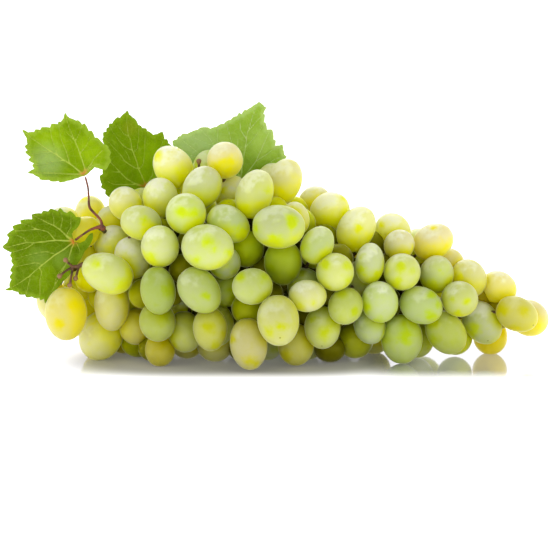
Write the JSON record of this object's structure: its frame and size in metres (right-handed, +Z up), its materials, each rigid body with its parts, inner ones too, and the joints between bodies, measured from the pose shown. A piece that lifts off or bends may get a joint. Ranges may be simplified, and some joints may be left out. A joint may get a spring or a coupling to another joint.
{
  "type": "bunch of grapes",
  "caption": "Conical bunch of oval white grapes lying on its side, with a woody shoot, a bare twig and toothed vine leaves at the stalk end.",
  "frame": {"origin": "middle of the whole part's footprint, at the surface it lies on", "axes": "+X along the bunch from the stalk end to the tip, +Z up, the viewed side faces -Y"},
  "size_m": [0.2722, 0.1136, 0.1273],
  "materials": {
    "berry": "waxy grape skin, pale green with a soft bloom, yellow to amber at both ends of the bunch",
    "stem": "matt red-brown vine bark",
    "leaf_light": "light green vine leaf",
    "leaf_dark": "dark green vine leaf",
    "leaf_pale": "pale green vine leaf with light through it"
  },
  "bodies": {
    "root": {"bunch": "berry", "vine_shoot": "stem", "bare_twig": "stem", "stalk_upper_middle": "stem", "stalk_upper_right": "stem", "leaf_upper_left": "leaf_light", "leaf_lower_left": "leaf_dark", "leaf_upper_middle": "leaf_dark", "leaf_upper_right": "leaf_pale"}
  },
  "joints": []
}
